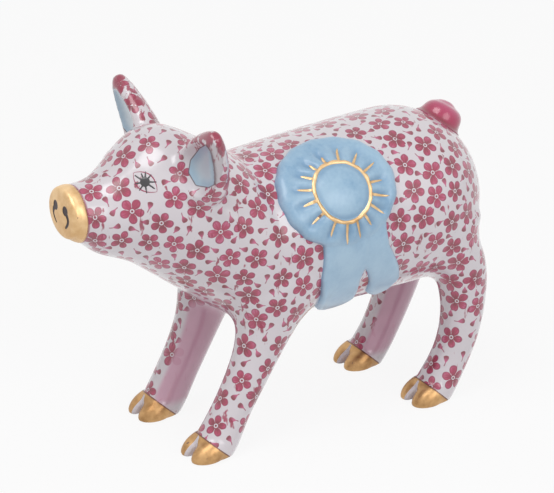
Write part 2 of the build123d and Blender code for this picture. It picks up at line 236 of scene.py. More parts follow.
REAR_RIBBON = (
    (0.8, -8.0), (3.2, -15.0), (5.3, -18.6), (6.3, -21.5), (6.9, -25.6), (7.8, -26.6), (8.8, -25.8),
    (9.7, -22.8), (8.9, -19.9), (7.6, -17.0), (6.3, -14.0), (5.9, -10.5), (6.3, -6.0),
)

# Gold ring and rays: for each ray its direction in degrees and its length in millimetres
RAYS = (
    (1.3, 3.0), (22.4, 3.6), (45.2, 3.3), (71.2, 3.4), (97.0, 1.9), (121.0, 2.0), (141.6, 2.4), (163.5, 2.8),
    (184.6, 2.5), (210.0, 2.9), (238.6, 2.9), (262.8, 4.2), (282.4, 3.7), (301.0, 2.9), (322.0, 3.6),
    (340.6, 3.8),
)
RAY_SWAY = 2.5  # degrees that a ray bends at most
RAY_WIDTHS = (0.62, 0.76)
RAY_THICK = 0.13
RING_WIDTH = 0.82
RING_THICK = 0.16
RING_OVAL = 0.1  # how much the ring is higher than wide

# Snout
SNOUT_AROUND = 160  # points round the pad
SNOUT_EDGE = 0.85 * MM
SNOUT_DOME = 0.25 * MM
SNOUT_SINK = 0.4 * MM
GILT_BAND = (0.15, 0.45, 0.8, 1.05)  # rings of the gilding behind the pad, in millimetres
GILT_EDGE = 0.09 * MM
SIDE_BOW = 0.10  # how far the side bulges, as a share of the pad's half width
NOSTRIL_END_X = 1.75
NOSTRIL_BOW = 0.95
NOSTRIL_TOP = 1.0
NOSTRIL_BOTTOM = -2.0
NOSTRIL_HEAD = 0.86
NOSTRIL_LINE = 0.48
NOSTRIL_PRESS = 0.16 * MM
NOSTRIL_SOFT = 0.25
PAD_FRONT = 0.05 * MM  # how far behind the dome a point still counts as the pad's face
PAINT_FRONT = 0.6 * MM  # how far back from the pad's front the nostrils are painted
UNPAINTED = 9.0

# Eyes, in millimetres
EYE_PLACE = (7.0, -28.2, 51.8)
EYE_HALF_LENGTH = 2.6
EYE_HALF_HEIGHT = 1.45
EYE_SLANT = -55.0  # degrees from level to the eye's long axis, outer corner down
EYE_LINE = 0.24
EYE_LINE_THICK = 0.05
EYE_SINK = 0.08
LASH_WIDTH = 0.40
LASH_THICK = 0.06
LASH_START = 0.2
PUPIL_RADIUS = 0.86
PUPIL_THICK = 0.09
EYE_RAYS = (
    (4, 2.0), (39, 1.9), (89, 1.6), (127, 1.75), (154, 1.6), (186, 2.1), (229, 1.7), (276, 1.7), (318, 1.9),
)


def linear(rgb):
    """sRGB out of 255 as linear red, green and blue with an alpha of 1."""
    parts = [c / 255 for c in rgb]
    return tuple(c / 12.92 if c <= 0.04045 else ((c + 0.055) / 1.055) ** 2.4 for c in parts) + (1.0,)


def paler(rgb, by):
    return tuple(min(255, c + by) for c in rgb)


def smooth(value, start=0.0, end=1.0):
    """Soft step from 0 at start to 1 at end, which may be the lower of the two."""
    x = np.clip((value - start) / (end - start), 0, 1)
    return x * x * (3 - 2 * x)


def unit(vectors):
    return vectors / np.maximum(np.linalg.norm(vectors, axis=-1, keepdims=True), TINY)


def box_of(node):
    """Lowest and highest corner of a CAD node, as arrays."""
    return [np.array(corner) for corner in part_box(node)]


class Grid:
    """A dense box of voxels that fields are sampled on. A field is distance, negative inside."""

    def __init__(self, low, high, voxel):
        self.voxel = voxel
        self.low = np.floor(np.array(low) / voxel).astype(int) - MARGIN
        self.shape = np.ceil(np.array(high) / voxel).astype(int) + MARGIN - self.low
        self.corner = tuple(int(i) for i in self.low)

    def mesh_field(self, mesh):
        """Signed distance to a closed mesh."""
        mesh.calc_loop_triangles()
        points = np.empty(len(mesh.vertices) * 3, np.float32)
        mesh.vertices.foreach_get("co", points)
        corners = np.empty(len(mesh.loop_triangles) * 3, np.uint32)
        mesh.loop_triangles.foreach_get("vertices", corners)
        grid = vdb.FloatGrid.createLevelSetFromPolygons(
            points.reshape(-1, 3),
            triangles=corners.reshape(-1, 3),
            transform=vdb.createLinearTransform(self.voxel),
            halfWidth=BAND,
        )
        field = np.empty(self.shape, np.float32)
        grid.copyToArray(field, ijk=self.corner)
        return field

    def node_field(self, name):
        return self.mesh_field(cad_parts[name].data)

    def places(self):
        """Coordinates of every voxel as three arrays."""
        axes = [(self.low[a] + np.arange(self.shape[a])) * self.voxel for a in range(3)]
        return np.meshgrid(*axes, indexing="ij")

    def spots(self):
        """Places of every voxel as one list of points."""
        return np.stack([axis.ravel() for axis in self.places()], axis=1)

    def sampled(self, field, points):
        """Value of a field at points, by linear interpolation."""
        place = points / self.voxel - self.low
        cell = np.clip(place.astype(int), 0, self.shape - 2)
        x, y, z = np.clip(place - cell, 0, 1).T
        flat = field.ravel()
        across, along = self.shape[1] * self.shape[2], self.shape[2]
        start = cell[:, 0] * across + cell[:, 1] * along + cell[:, 2]
        value = 0
        for i, part_x in ((0, 1 - x), (across, x)):
            for j, part_y in ((0, 1 - y), (along, y)):
                near = start + i + j
                value = value + part_x * part_y * ((1 - z) * flat[near] + z * flat[near + 1])
        return value

    def slope(self, field, points):
        """Unit direction in which a field grows, at points."""
        grow = np.empty((len(points), 3))
        for axis, shift in enumerate(np.eye(3) * self.voxel):
            grow[:, axis] = self.sampled(field, points + shift) - self.sampled(field, points - shift)
        return unit(grow)

    def settled(self, field, points, level=0.0, steps=3):
        """Points moved along the field onto one of its levels."""
        for _ in range(steps):
            points = points - self.slope(field, points) * (self.sampled(field, points) - level)[:, None]
        return points

    def blurred(self, field, spread):
        """The field averaged over a round neighbourhood."""
        reach = int(math.ceil(3 * spread / self.voxel))
        weights = np.exp(-0.5 * (np.arange(-reach, reach + 1) * self.voxel / spread) ** 2)
        weights = (weights / weights.sum()).astype(np.float32)
        for axis in range(3):
            room = [(reach, reach) if a == axis else (0, 0) for a in range(3)]
            padded = np.pad(field, room, mode="edge")
            field = np.zeros_like(field)
            for i, weight in enumerate(weights):
                part = [slice(None)] * 3
                part[axis] = slice(i, i + field.shape[axis])
                field += weight * padded[tuple(part)]
        return field

    def surface(self, name, field):
        """Mesh object of a field's zero surface, its points settled onto it."""
        grid = vdb.FloatGrid(BAND * self.voxel)
        grid.copyFromArray(field.astype(np.float32), ijk=self.corner)
        grid.transform = vdb.createLinearTransform(self.voxel)
        points, quads = grid.convertToQuads(0.0)
        points = self.settled(field, np.asarray(points, float))
        return mesh_piece(name, points.tolist(), np.asarray(quads, int).tolist())


def filled(field, voxel):
    """The field with a cast's hollow filled, row by row across the body."""
    solid = field < SEAM
    before = np.maximum.accumulate(solid, axis=0)
    after = np.maximum.accumulate(solid[::-1], axis=0)[::-1]
    return np.where(before & after & ~solid, -BAND * voxel, field)


def joined(a, b, fillet):
    """Union of two fields with a soft fillet where they meet."""
    blend = np.maximum(fillet - np.abs(a - b), 0) / fillet
    return np.minimum(a, b) - blend * blend * (fillet / 4)


def polygon_distance(outline, s, t):
    """Signed distance to a closed outline, positive inside."""
    inside = np.zeros(s.shape, bool)
    nearest = np.full(s.shape, np.inf)
    for (s0, t0), (s1, t1) in zip(outline, outline[1:] + outline[:1]):
        run = (s1 - s0) ** 2 + (t1 - t0) ** 2
        share = np.clip(((s - s0) * (s1 - s0) + (t - t0) * (t1 - t0)) / run, 0, 1)
        nearest = np.minimum(nearest, np.hypot(s - s0 - share * (s1 - s0), t - t0 - share * (t1 - t0)))
        if t0 != t1:
            crossing = (t0 > t) != (t1 > t)
            inside ^= crossing & (s < s0 + (t - t0) * (s1 - s0) / (t1 - t0))
    return np.where(inside, nearest, -nearest)


def linked(name, data):
    """New object in the scene."""
    thing = bpy.data.objects.new(name, data)
    bpy.context.scene.collection.objects.link(thing)
    return thing


def mesh_piece(name, points, faces):
    """Smooth-shaded mesh object from points and faces."""
    mesh = bpy.data.meshes.new(name)
    mesh.from_pydata(points, [], faces)
    mesh.update()
    mesh.shade_smooth()
    return linked(name, mesh)


@contextmanager
def edited(mesh):
    """The mesh opened for editing, and written back at the end."""
    shape = bmesh.new()
    shape.from_mesh(mesh)
    yield shape
    shape.to_mesh(mesh)
    shape.free()


def merged_piece(name, forms):
    """One object from several closed forms, its normals turned outwards."""
    all_points, all_faces = [], []
    for points, faces in forms:
        start = len(all_points)
        all_points.extend(points.tolist())
        all_faces.extend(tuple(start + i for i in face) for face in faces)
    piece = mesh_piece(name, all_points, all_faces)
    with edited(piece.data) as shape:
        bmesh.ops.recalc_face_normals(shape, faces=shape.faces)
    return piece


def tube_faces(rings, around, closed=False):
    """Faces between rings of points, capped at both ends unless the tube closes on itself."""
    faces = []
    for ring in range(rings if closed else rings - 1):
        a, b = ring * around, (ring + 1) % rings * around
        for i in range(around):
            j = (i + 1) % around
            faces.append((a + i, a + j, b + j, b + i))
    if not closed:
        faces.append(tuple(range(around))[::-1])
        faces.append(tuple((rings - 1) * around + i for i in range(around)))
    return faces


def finish_piece(piece, material, slot, *nodes):
    """Gives a piece its material, hangs it under the root body and hides the CAD nodes that it stands for.
    The slot is not used.
    """
    piece.data.materials.clear()
    piece.data.materials.append(material)
    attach(piece, "root")
    if nodes:
        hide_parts(*nodes)


def points_of(mesh):
    """Vertex places of a mesh as an array."""
    points = np.empty(len(mesh.vertices) * 3)
    mesh.vertices.foreach_get("co", points)
    return points.reshape(-1, 3)


def normals_of(mesh):
    """Vertex normals of a mesh as an array."""
    normals = np.empty(len(mesh.vertices) * 3, np.float32)
    mesh.vertex_normals.foreach_get("vector", normals)
    return normals.reshape(-1, 3).astype(float)


def store(mesh, name, values, domain="POINT"):
    """Keeps numbers, or triples, on a mesh's points or corners under a name."""
    values = np.asarray(values, np.float32)
    kind, key = ("FLOAT_VECTOR", "vector") if values.ndim == 2 else ("FLOAT", "value")
    attribute = mesh.attributes.new(name, kind, domain)
    attribute.data.foreach_set(key, values.ravel())


class Value:
    """A number in a node tree that arithmetic works on. Each sum or product adds a node."""

    def __init__(self, nodes, socket):
        self.nodes = nodes
        self.socket = socket

    def __add__(self, other):
        return self.nodes.math("ADD", self, other)

    def __sub__(self, other):
        return self.nodes.math("SUBTRACT", self, other)

    def __rsub__(self, other):
        return self.nodes.math("SUBTRACT", other, self)

    def __mul__(self, other):
        return self.nodes.math("MULTIPLY", self, other)

    def __abs__(self):
        return self.nodes.math("ABSOLUTE", self)

    def step(self, start, end):
        """0 below start and 1 above end, or the other way round if end is the lower."""
        low, high, top = min(start, end), max(start, end), float(end > start)
        ends = {"From_Min": low, "From_Max": high, "To_Min": 1.0 - top, "To_Max": top}
        node = self.nodes.node("MapRange", Value=self, **ends)
        node.interpolation_type = "SMOOTHSTEP"
        return Value(self.nodes, node.outputs[0])


class Nodes:
    """Builds a node tree, one call to a node."""

    def __init__(self, tree):
        self.tree = tree

    def put(self, socket, value):
        """Links a socket to what gives its value, or sets it to a plain value."""
        value = value.socket if isinstance(value, Value) else value
        if isinstance(value, bpy.types.NodeSocket):
            self.tree.links.new(value, socket)
        else:
            socket.default_value = value

    def node(self, kind, **values):
        """A new node with inputs set by name, _ standing for a space."""
        node = self.tree.nodes.new("ShaderNode" + kind)
        for name, value in values.items():
            self.put(node.inputs[name.replace("_", " ")], value)
        return node

    def math(self, operation, *values):
        node = self.node("Math")
        node.operation = operation
        for socket, value in zip(node.inputs, values):
            self.put(socket, value)
        return Value(self, node.outputs[0])

    def mix(self, share, first, second):
        """Colour that goes from first to second with the share."""
        node = self.node("Mix")
        node.data_type = "RGBA"
        self.put(node.inputs["Factor"], share)
        for key, value in (("A", first), ("B", second)):
            socket = [s for s in node.inputs if s.name == key and s.type == "RGBA"][0]
            self.put(socket, linear(value) if isinstance(value, tuple) else value)
        return [s for s in node.outputs if s.type == "RGBA"][0]

    def split(self, triple):
        """x, y and z of a triple."""
        return [Value(self, s) for s in self.node("SeparateXYZ", Vector=triple).outputs]

    def vector(self, x, y, z):
        return self.node("CombineXYZ", X=x, Y=y, Z=z).outputs[0]

    def stored(self, name):
        """Outputs of what store() kept under a name."""
        node = self.node("Attribute")
        node.attribute_name = name
        return node.outputs

    def triple(self, name):
        return self.split(self.stored(name)["Vector"])

    def number(self, name):
        return Value(self, self.stored(name)["Fac"])

    def place(self):
        """Place on the object."""
        return self.node("TexCoord").outputs["Object"]

    def noise(self, scale, detail=2.0, place=None, roughness=0.5):
        """Cloudy value from 0 to 1. Without a place it follows the object's own coordinates."""
        place = place or self.place()
        node = self.node("TexNoise", Scale=scale, Detail=detail, Roughness=roughness, Vector=place)
        return Value(self, node.outputs[0])


class Paint(Nodes):
    """A material that is painted layer by layer."""

    def __init__(self, name):
        self.material = bpy.data.materials.new(name)
        self.material.use_nodes = True
        super().__init__(self.material.node_tree)
        self.colour = None

    def over(self, share, colour):
        """Paints a colour over what is there, as strongly as the share says."""
        self.colour = self.mix(share, self.colour, colour)

    def finished(self, grain=None, **values):
        """The material, with its shader's inputs set by name and a value standing out as grain."""
        shader = self.tree.nodes["Principled BSDF"].inputs
        for name, value in values.items():
            self.put(shader[name.replace("_", " ")], value)
        self.put(shader["Base Color"], self.colour)
        if grain:
            bump = self.node("Bump", Strength=1.0, Distance=GRAIN, Height=grain)
            self.put(shader["Normal"], bump.outputs[0])
        return self.material

    def glazed(self, grain=None, roughness=0.32, coat=1.0, coat_roughness=0.15):
        """The material under a clear glaze."""
        return self.finished(
            grain, Roughness=roughness, Coat_Weight=coat, Coat_Roughness=coat_roughness, Coat_IOR=GLAZE_IOR,
        )


# Materials

def paint_blossoms(paint, load, turn, reach, kind):
    """Five-petalled blossoms, brushed out from a dark heart."""
    ground = paint.colour
    chance = paint.math("FRACT", kind)
    here = paint.math("COMPARE", paint.math("FLOOR", kind), BLOSSOM_KIND, 0.1)
    size = chance * 0.5 + (BLOSSOM_RADIUS - 0.25)
    lobe = abs(paint.math("COSINE", turn * 2.5))
    edge = size * (paint.math("POWER", lobe, 0.5) * 0.70 + 0.30) + (paint.noise(380.0) - 0.5) * 0.7
    inside = edge - reach
    notch = lobe.step(0.24, 0.10) * reach.step(0.45, 0.75)
    hairs = paint.noise(1.0, place=paint.vector(turn * 7.0, reach * 0.5, chance * 60.0))
    tone = 1.08 - paint.math("DIVIDE", reach, size) + (hairs - 0.5) * 1.3 + (load - 0.5) * 1.5
    petal = paint.mix(tone.step(-0.25, 0.40), RASPBERRY_PALE, RASPBERRY)
    petal = paint.mix(tone.step(0.30, 0.95), petal, RASPBERRY_DARK)
    paint.over(inside.step(0.0, 0.10) * here * (1.0 - notch) * 0.95, petal)
    paint.over(abs(inside - 0.05).step(0.17, 0.06) * here * 0.9, RASPBERRY_LINE)
    paint.over(reach.step(0.44, 0.34) * here, ground)
    paint.over(reach.step(0.24, 0.14) * here, RASPBERRY_DARK)


def paint_buds(paint, load, u, v, reach, kind):
    """Buds, each on a bent stem."""
    here = paint.math("COMPARE", paint.math("FLOOR", kind), BUD_KIND, 0.1)
    bow = abs(v - u * u * 0.16)
    edge = paint.math("MINIMUM", u.step(-1.0, 0.35) * 0.52 - bow, BUD_RADIUS - reach)
    stem = bow.step(0.13, 0.05) * u.step(-1.35, -1.15) * u.step(0.2, 0.0)
    paint.over(stem * here * 0.85, RASPBERRY_LINE)
    bud = paint.mix((u + load * 1.4).step(0.2, 1.3), RASPBERRY_PALE, RASPBERRY_DARK)
    paint.over(edge.step(0.0, 0.09) * here * 0.94, bud)


def paint_ear_tips(paint):
    """Raspberry on the tips and backs of the ears, in upright strokes."""
    x, y, z = paint.split(paint.place())
    hairs = paint.noise(620.0, 3.0, paint.vector(x, y, z * 0.3), roughness=0.6)
    streak = (paint.number("ear_tip") + (hairs - 0.5) * 4.5).step(0.55, 0.85)
    paint.over(streak * 0.9, paint.mix(paint.noise(340.0), RASPBERRY_DARK, RASPBERRY))


def paint_ear_hollows(paint, ear):
    """The blue hollows of the ears and the line round them."""
    deep = ear.step(0.2, 2.4) + paint.noise(420.0, 3.0) * 0.5
    paint.over(ear.step(-0.05, 0.05), paint.mix(deep.step(0.1, 1.2), EAR_BLUE, EAR_BLUE_PALE))
    paint.over(abs(ear).step(0.13, 0.05) * 0.85, OUTLINE)


def porcelain_material():
    """White glazed porcelain with all that is painted on it."""
    paint = Paint("porcelain")
    paint.colour = paint.mix(paint.noise(60.0, 3.0).step(0.3, 0.8), PORCELAIN, paler(PORCELAIN, -6))
    u, v, kind = paint.triple("motif")
    reach = paint.math("SQRT", u * u + v * v)
    load = paint.noise(260.0)
    paint_blossoms(paint, load, paint.math("ARCTAN2", v, u), reach, kind)
    paint_buds(paint, load, u, v, reach, kind)
    paint_ear_tips(paint)
    ear, wash, from_snout = paint.triple("painted")
    paint.over(wash * 0.9, paint.mix(paint.noise(300.0, 3.0), WASH, paler(WASH, 16)))
    paint_ear_hollows(paint, ear)
    paint.over(from_snout.step(1.5, 1.2) * 0.8, RASPBERRY_LINE)
    return paint.glazed(load)


def gold_material(name="gilding", light=GOLD, deep=GOLD_DEEP, marked=None):
    """Burnished satin gold with brush marks and worn flecks, and with marks painted on it."""
    paint = Paint(name)
    strokes = paint.noise(900.0, 4.0)
    share = strokes * 0.45 + paint.noise(180.0) * 0.55
    paint.colour = paint.mix(share.step(0.25, 0.75), deep, light)
    fleck = paint.noise(640.0, 1.0).step(0.265, 0.23)
    paint.over(fleck * 0.8, OUTLINE)
    metal = 0.92 - fleck * 0.7
    if marked:
        metal = marked(paint, metal)
    return paint.finished(strokes, Metallic=metal, Roughness=strokes * 0.22 + 0.30)


def toe_marks(paint, metal):
    """The white cleft between two toes, and the line along the gilding's edge."""
    cleft, edge, _ = paint.triple("toe")
    bare = cleft.step(0.06, -0.06)
    paint.over(bare, PORCELAIN)
    paint.over(edge.step(0.30, 0.12) * 0.8, OUTLINE)
    return metal * (1.0 - bare)


def nostril_marks(paint, metal):
    """The nostrils, in dark brown, on gold that is metal all over."""
    mark = paint.number("nostril").step(0.05, -0.05)
    paint.over(mark, NOSTRIL)
    return 1.0 - mark * 0.8


def blue_material():
    """Light blue enamel, brushed on, with painted shade darker in the folds, in the groove inside the ring
    and at the foot.
    """
    paint = Paint("blue_enamel")
    fold_shade, foot, tails = paint.triple("painted_shade")
    grain = paint.noise(1500.0)
    load = paint.noise(190.0, 4.0, roughness=0.6) * 0.75 + grain * 0.25
    paint.colour = paint.mix(load.step(0.34, 0.66), BLUE, BLUE_PALE)
    paint.over(load.step(0.42, 0.34) * 0.25, BLUE_DEEP)
    paint.over(tails * 0.45, BLUE_LIGHT)
    # Painted shade in the folds and round the ring, and at the foot where the relief meets the flank.
    paint.over(fold_shade * 0.85, BLUE_DEEP)
    paint.over(foot * 0.7, BLUE_DEEP)
    return paint.glazed(grain, roughness=0.42, coat=0.55, coat_roughness=0.22)


def tail_material():
    """Solid raspberry, with painted shade darker at its foot and a painted highlight paler along the top."""
    paint = Paint("raspberry_enamel")
    rise = paint.number("rise")
    # Painted shade where the tail stands low over the rump, and a painted highlight along its top.
    tone = rise + (paint.noise(300.0, 3.0) - 0.5) * 1.2
    paint.colour = paint.mix(tone.step(0.0, 1.3), RASPBERRY_DARK, RASPBERRY)
    paint.over(tone.step(1.2, 3.2) * 0.6, RASPBERRY_PALE)
    paint.over(rise.step(0.22, 0.10), RASPBERRY_LINE)
    return paint.glazed()


def enamel_material(name, rgb):
    """One colour of enamel, with the brush's uneven load."""
    paint = Paint(name)
    paint.colour = paint.mix(paint.noise(700.0, 3.0), rgb, paler(rgb, 18))
    return paint.glazed()


# The body: trunk, head, ears and legs as one glazed form

def skin_field(grid):
    """Signed distance to the glazed form, with the air hole in its belly."""
    core = filled(np.minimum(grid.node_field("trunk_shell"), grid.node_field("head_shell")), grid.voxel)
    form = grid.blurred(core, CORE_BLUR)
    for leg in LEGS:
        limb = joined(grid.node_field(f"leg_{leg}"), grid.node_field(f"hoof_{leg}"), FOOT_FILLET)
        form = joined(form, limb, LEG_FILLET)
    for side in SIDES:
        form = joined(form, grid.node_field(f"ear_{side}"), EAR_FILLET)
    x, y, z = grid.places()
    hole = np.hypot(x, y - VENT_Y) - VENT_RADIUS
    hole = np.maximum(np.maximum(hole, -(form + VENT_DEPTH)), z - AXIS_Z * MM)
    form = grid.blurred(np.maximum(form, -hole), SKIN_BLUR)
    return np.maximum(form, -z)


body_grid = Grid(cad_box[0], cad_box[1], VOXEL)
skin = skin_field(body_grid)
head_only = filled(body_grid.node_field("head_shell"), VOXEL)


def over_skin(points):
    """Height of points over the skin, in metres."""
    return body_grid.sampled(skin, points)


def hull_field(grid, name):
    """Signed distance to the convex hull of a CAD node."""
    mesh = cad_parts[name].data.copy()
    with edited(mesh) as shape:
        hull = bmesh.ops.convex_hull(shape, input=shape.verts)
        within = {v for v in hull["geom_interior"] + hull["geom_unused"] if isinstance(v, bmesh.types.BMVert)}
        bmesh.ops.delete(shape, geom=list(within), context="VERTS")
        on_hull = {f for f in hull["geom"] if isinstance(f, bmesh.types.BMFace)}
        bmesh.ops.delete(shape, geom=[f for f in shape.faces if f not in on_hull], context="FACES")
    field = grid.mesh_field(mesh)
    bpy.data.meshes.remove(mesh)
    return field


def near_ear(points, side, room):
    """Corners of the room round an ear, and which points lie in it."""
    low, high = box_of(f"ear_{side}")
    low, high = low - room, high + room
    return low, high, np.all((points > low) & (points < high), axis=1)


def ear_paint(points, normals):
    """How far, in millimetres, points lie inside the painted hollow of an ear."""
    value = np.full(len(points), NOT_IN_EAR)
    for side, sign in SIDES.items():
        low, high, near = near_ear(points, side, EAR_ROOM)
        grid, spots = Grid(low, high, VOXEL), points[near]
        depth = -grid.sampled(hull_field(grid, f"ear_{side}"), spots) - EAR_PAINT_DEPTH
        depth = np.where(normals[near, 1] < EAR_BACK_SLOPE, depth, NOT_IN_EAR * MM)
        off_head = body_grid.sampled(head_only, spots) - EAR_OFF_HEAD
        turned = spots / MM * (sign, 1, 1) - EAR_ROOT
        outline = polygon_distance(EAR_HOLLOW, turned @ EAR_PLANE[0], turned @ EAR_PLANE[1])
        inside = np.minimum(np.minimum(depth, off_head) / MM, outline + EAR_HOLLOW_ROUND)
        value[near] = np.maximum(value[near], inside)
    return value


def ear_tip(points, normals):
    """How strongly the tips and the backs of the ears are painted, 0 on the head."""
    share = np.zeros(len(points))
    for side in SIDES:
        low, high, near = near_ear(points, side, TIP_ROOM)
        off_head = body_grid.sampled(head_only, points[near]) / MM
        up = smooth((high[2] - TIP_ROOM - points[near, 2]) / MM, *TIP_FADE)
        back = smooth(normals[near, 1], -0.1, 0.4) * smooth(off_head, 1.5, 3.5)
        share[near] = np.maximum(TIP_STRENGTH * up * smooth(off_head, 0, 2), EAR_BACK_STRENGTH * back)
    return share


def inner_leg(points, normals):
    """1 on the faces of the legs that look at each other, 0 elsewhere."""
    facing = -np.sign(points[:, 0]) * normals[:, 0]
    height = points[:, 2] / MM
    return smooth(facing, 0.45, 0.70) * smooth(height, *WASH_TOP) * smooth(height, *WASH_FOOT)


def spread_out(places, spacing, taken, clearance):
    """Indices of places at least a spacing apart and clear of those taken, in shuffled order."""
    order = np.random.default_rng(SEED).permutation(len(places))
    free = np.ones(len(places), bool)
    for other in taken:
        free &= np.linalg.norm(places - other, axis=1) > clearance
    chosen = []
    for index in order:
        if free[index]:
            chosen.append(index)
            free &= np.linalg.norm(places - places[index], axis=1) > spacing
    return chosen


def motif_centres(points, painted):
    """Indices of the points that carry a blossom, and of those that carry a bud."""
    ear, wash, from_snout = painted.T
    open_ground = (ear < -EAR_CLEAR) & (wash < 0.2) & (from_snout > SNOUT_CLEAR)
    open_ground &= points[:, 2] > SOLE_CLEAR * MM
    eyes = [np.array((sign * EYE_PLACE[0], *EYE_PLACE[1:])) * MM for sign in SIDES.values()]
    from_eye = np.min([np.linalg.norm(points - eye, axis=1) for eye in eyes], axis=0) / MM
    free = np.flatnonzero(open_ground & (from_eye > EYE_CLEAR_OF_BLOSSOMS))
    blossoms = free[spread_out(points[free], BLOSSOM_SPACING * MM, [], 0)]
    free = np.flatnonzero(open_ground & (from_eye > EYE_CLEAR_OF_BUDS))
    buds = free[spread_out(points[free], BUD_SPACING * MM, points[blossoms], BUD_CLEARANCE * MM)]
    return blossoms, buds


def nearest_motif(middles, facings, spots, outwards, radii):
    """Index of the motif whose edge each face lies nearest to, of those on its side of the body."""
    middles, facings, spots, outwards, radii = (
        values.astype(np.float32) for values in (middles / MM, facings, spots / MM, outwards, radii)
    )
    nearest = np.empty(len(middles), int)
    for start in range(0, len(middles), FACES_AT_ONCE):
        part = slice(start, start + FACES_AT_ONCE)
        square = (middles[part] ** 2).sum(axis=1)[:, None] + (spots ** 2).sum(axis=1)
        square -= 2 * middles[part] @ spots.T
        cost = np.sqrt(np.maximum(square, 0)) - radii
        cost[facings[part] @ outwards.T < 0.3] += 10
        nearest[part] = cost.argmin(axis=1)
    return nearest


def motif_coordinates(mesh, painted):
    """For each corner its place in the nearest motif, and that motif's kind plus a chance share."""
    points, normals = points_of(mesh), normals_of(mesh)
    blossoms, buds = motif_centres(points, painted)
    centres = np.concatenate([blossoms, buds])
    kinds = np.repeat((BLOSSOM_KIND, BUD_KIND), (len(blossoms), len(buds)))
    radii = np.where(kinds == BLOSSOM_KIND, BLOSSOM_RADIUS, BUD_RADIUS)
    chance = np.random.default_rng(SEED + 1)
    kinds = kinds + chance.uniform(0.02, 0.95, len(centres))
    out = normals[centres]
    aside = unit(np.cross(out, chance.normal(size=out.shape)))
    over = np.cross(out, aside)

    faces = np.empty(len(mesh.polygons) * 4, int)
    mesh.loops.foreach_get("vertex_index", faces)
    faces = faces.reshape(-1, 4)
    middles, facings = points[faces].mean(axis=1), normals[faces].mean(axis=1)
    nearest = nearest_motif(middles, facings, points[centres], out, radii)
    away = points[faces] - points[centres[nearest]][:, None, :]
    u = np.einsum("fck,fk->fc", away, aside[nearest])
    v = np.einsum("fck,fk->fc", away, over[nearest])
    stretch = np.linalg.norm(away, axis=2) / np.maximum(np.hypot(u, v), TINY)
    kind = np.repeat(kinds[nearest][:, None], 4, axis=1)
    return np.stack([u * stretch / MM, v * stretch / MM, kind], axis=2).reshape(-1, 3)


def body_piece():
    """The body's mesh, with all that its paint has to know."""
    piece = body_grid.surface("glazed_body", skin)
    points, normals = points_of(piece.data), normals_of(piece.data)
    from_snout = (points[:, 1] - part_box("snout_pad")[1].y) / MM
    painted = np.stack([ear_paint(points, normals), inner_leg(points, normals), from_snout], axis=1)
    store(piece.data, "painted", painted)
    store(piece.data, "ear_tip", ear_tip(points, normals))
    store(piece.data, "motif", motif_coordinates(piece.data, painted), domain="CORNER")
    return piece


# Gilt toes: cut from the body along the gilding's slanted edge

def cut(mesh, foot, edge, to_toes, keep_toes):
    """Cuts a mesh along the edge of a foot's gilding, keeps one side of it and closes that."""
    def at_foot(face):
        away = face.calc_center_median() - foot
        return all(abs(away[a]) < FOOT_REACH[a] for a in range(3))

    def on_toes(face):
        return (face.calc_center_median() - edge).dot(to_toes) > 0

    with edited(mesh) as shape:
        near = [f for f in shape.faces if at_foot(f)]
        if keep_toes:
            bmesh.ops.delete(shape, geom=list(set(shape.faces) - set(near)), context="FACES")
            near = list(shape.faces)
        edges, corners = {e for f in near for e in f.edges}, {v for f in near for v in f.verts}
        geometry = [*near, *edges, *corners]
        bmesh.ops.bisect_plane(shape, geom=geometry, plane_co=edge, plane_no=to_toes, dist=CUT_TOLERANCE)
        gone = [f for f in shape.faces if on_toes(f) != keep_toes and (keep_toes or at_foot(f))]
        bmesh.ops.delete(shape, geom=gone, context="FACES")
        cap = bmesh.ops.holes_fill(shape, edges=[e for e in shape.edges if e.is_boundary])
        for face in cap["faces"]:
            face.smooth = False
            for side in face.edges:
                side.smooth = False


def gilt_toes(body, leg):
    """Cuts one foot's gilt toes off the body. Says where they lie off the cleft and the edge."""
    low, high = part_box(f"hoof_{leg}")
    foot = Vector(((low.x + high.x) / 2, low.y, 0))
    edge = Vector((foot.x, high.y, 0))
    to_toes = Vector((1, 0, 0)).cross(Vector((0, -GILT_RUN, GILT_RISE)).normalized())
    toes = linked(f"gilt_toes_{leg}", body.data.copy())
    toes.data.name = toes.name
    cut(toes.data, foot, edge, to_toes, keep_toes=True)
    cut(body.data, foot, edge, to_toes, keep_toes=False)

    points = points_of(toes.data)
    height = points[:, 2] / MM
    half = CLEFT_WIDTH / 2 * (1 - height / CLEFT_HEIGHT) + CLEFT_ROUND
    off_cleft = np.abs((points[:, 0] - foot.x) / MM + CLEFT_ASIDE) - half
    off_cleft = np.where(height > CLEFT_HEIGHT, 1.0, off_cleft)
    off_edge = (points - np.array(edge)) @ np.array(to_toes) / MM
    store(toes.data, "toe", np.stack([off_cleft, off_edge, height], axis=1))
    return toes


body = body_piece()
# The toes get a darker copy of the gilding as painted shade.
shaded_toe_gold = gold_material("shaded_toe_gilding", SHADED_TOE_GOLD, SHADED_TOE_GOLD_DEEP, toe_marks)
for leg in LEGS:
    finish_piece(gilt_toes(body, leg), shaded_toe_gold, "gilding", f"hoof_{leg}")
finish_piece(
    body, porcelain_material(), "porcelain", "trunk_shell", "head_shell", "ear_left", "ear_right",
    *(f"leg_{leg}" for leg in LEGS),
)

# Tail: the curl, joined to the rump with a soft foot

